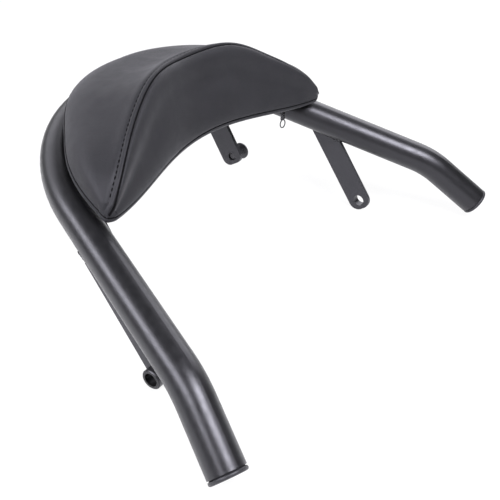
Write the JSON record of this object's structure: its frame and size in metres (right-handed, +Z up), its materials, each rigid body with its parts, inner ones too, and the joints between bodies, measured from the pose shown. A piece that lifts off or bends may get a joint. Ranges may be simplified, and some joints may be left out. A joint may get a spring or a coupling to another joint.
{
  "type": "sissy bar",
  "caption": "Low bow-shaped passenger backrest for a motorcycle: a bent round tube with splayed legs, flat mounting straps and a half-moon padded cushion on the bow.",
  "frame": {"origin": "middle of the axis through the two front holes", "axes": "+X to the right as seen from the front, along the front holes' axis; +Y to the rear; +Z up as fitted"},
  "size_m": [0.4882, 0.3327, 0.2047],
  "materials": {
    "frame_black": "satin black powder coat on steel",
    "plug_black": "matt black plastic",
    "bolt_black": "black oxide steel",
    "insert_brass": "plain brass",
    "board": "plain plywood",
    "foam": "open-cell foam",
    "cover": "matt black grained artificial leather",
    "zip_tape": "black woven tape",
    "zip_plastic": "black coil",
    "zip_metal": "black lacquered zinc"
  },
  "bodies": {
    "frame": {"bow_tube": "frame_black", "end_plug_left": "plug_black", "end_plug_right": "plug_black", "front_tab_left": "frame_black", "front_tab_right": "frame_black", "front_bush_left": "frame_black", "front_bush_right": "frame_black", "rear_tab_left": "frame_black", "rear_tab_right": "frame_black", "rear_bolt_left": "bolt_black", "rear_bolt_right": "bolt_black", "pad_lug_left": "frame_black", "pad_lug_centre": "frame_black", "pad_lug_right": "frame_black", "pad_screws": "bolt_black", "board_inserts": "insert_brass", "base_board": "board", "foam_core": "foam", "cover_bottom_panel": "cover", "cover_front_panel": "cover", "cover_rear_panel": "cover", "zip_tape": "zip_tape", "zip_chain": "zip_plastic", "zip_slider": "zip_metal"},
    "zip_pull": {"zip_pull": "zip_metal"}
  },
  "joints": [
    {"name": "zip_pull_swing", "type": "hinge", "parent": "frame", "child": "zip_pull", "pos_m": [0.11536, 0.06781, 0.10696], "axis": [0.2395, 0.9709, 0], "range_deg": [-75, 75]}
  ]
}
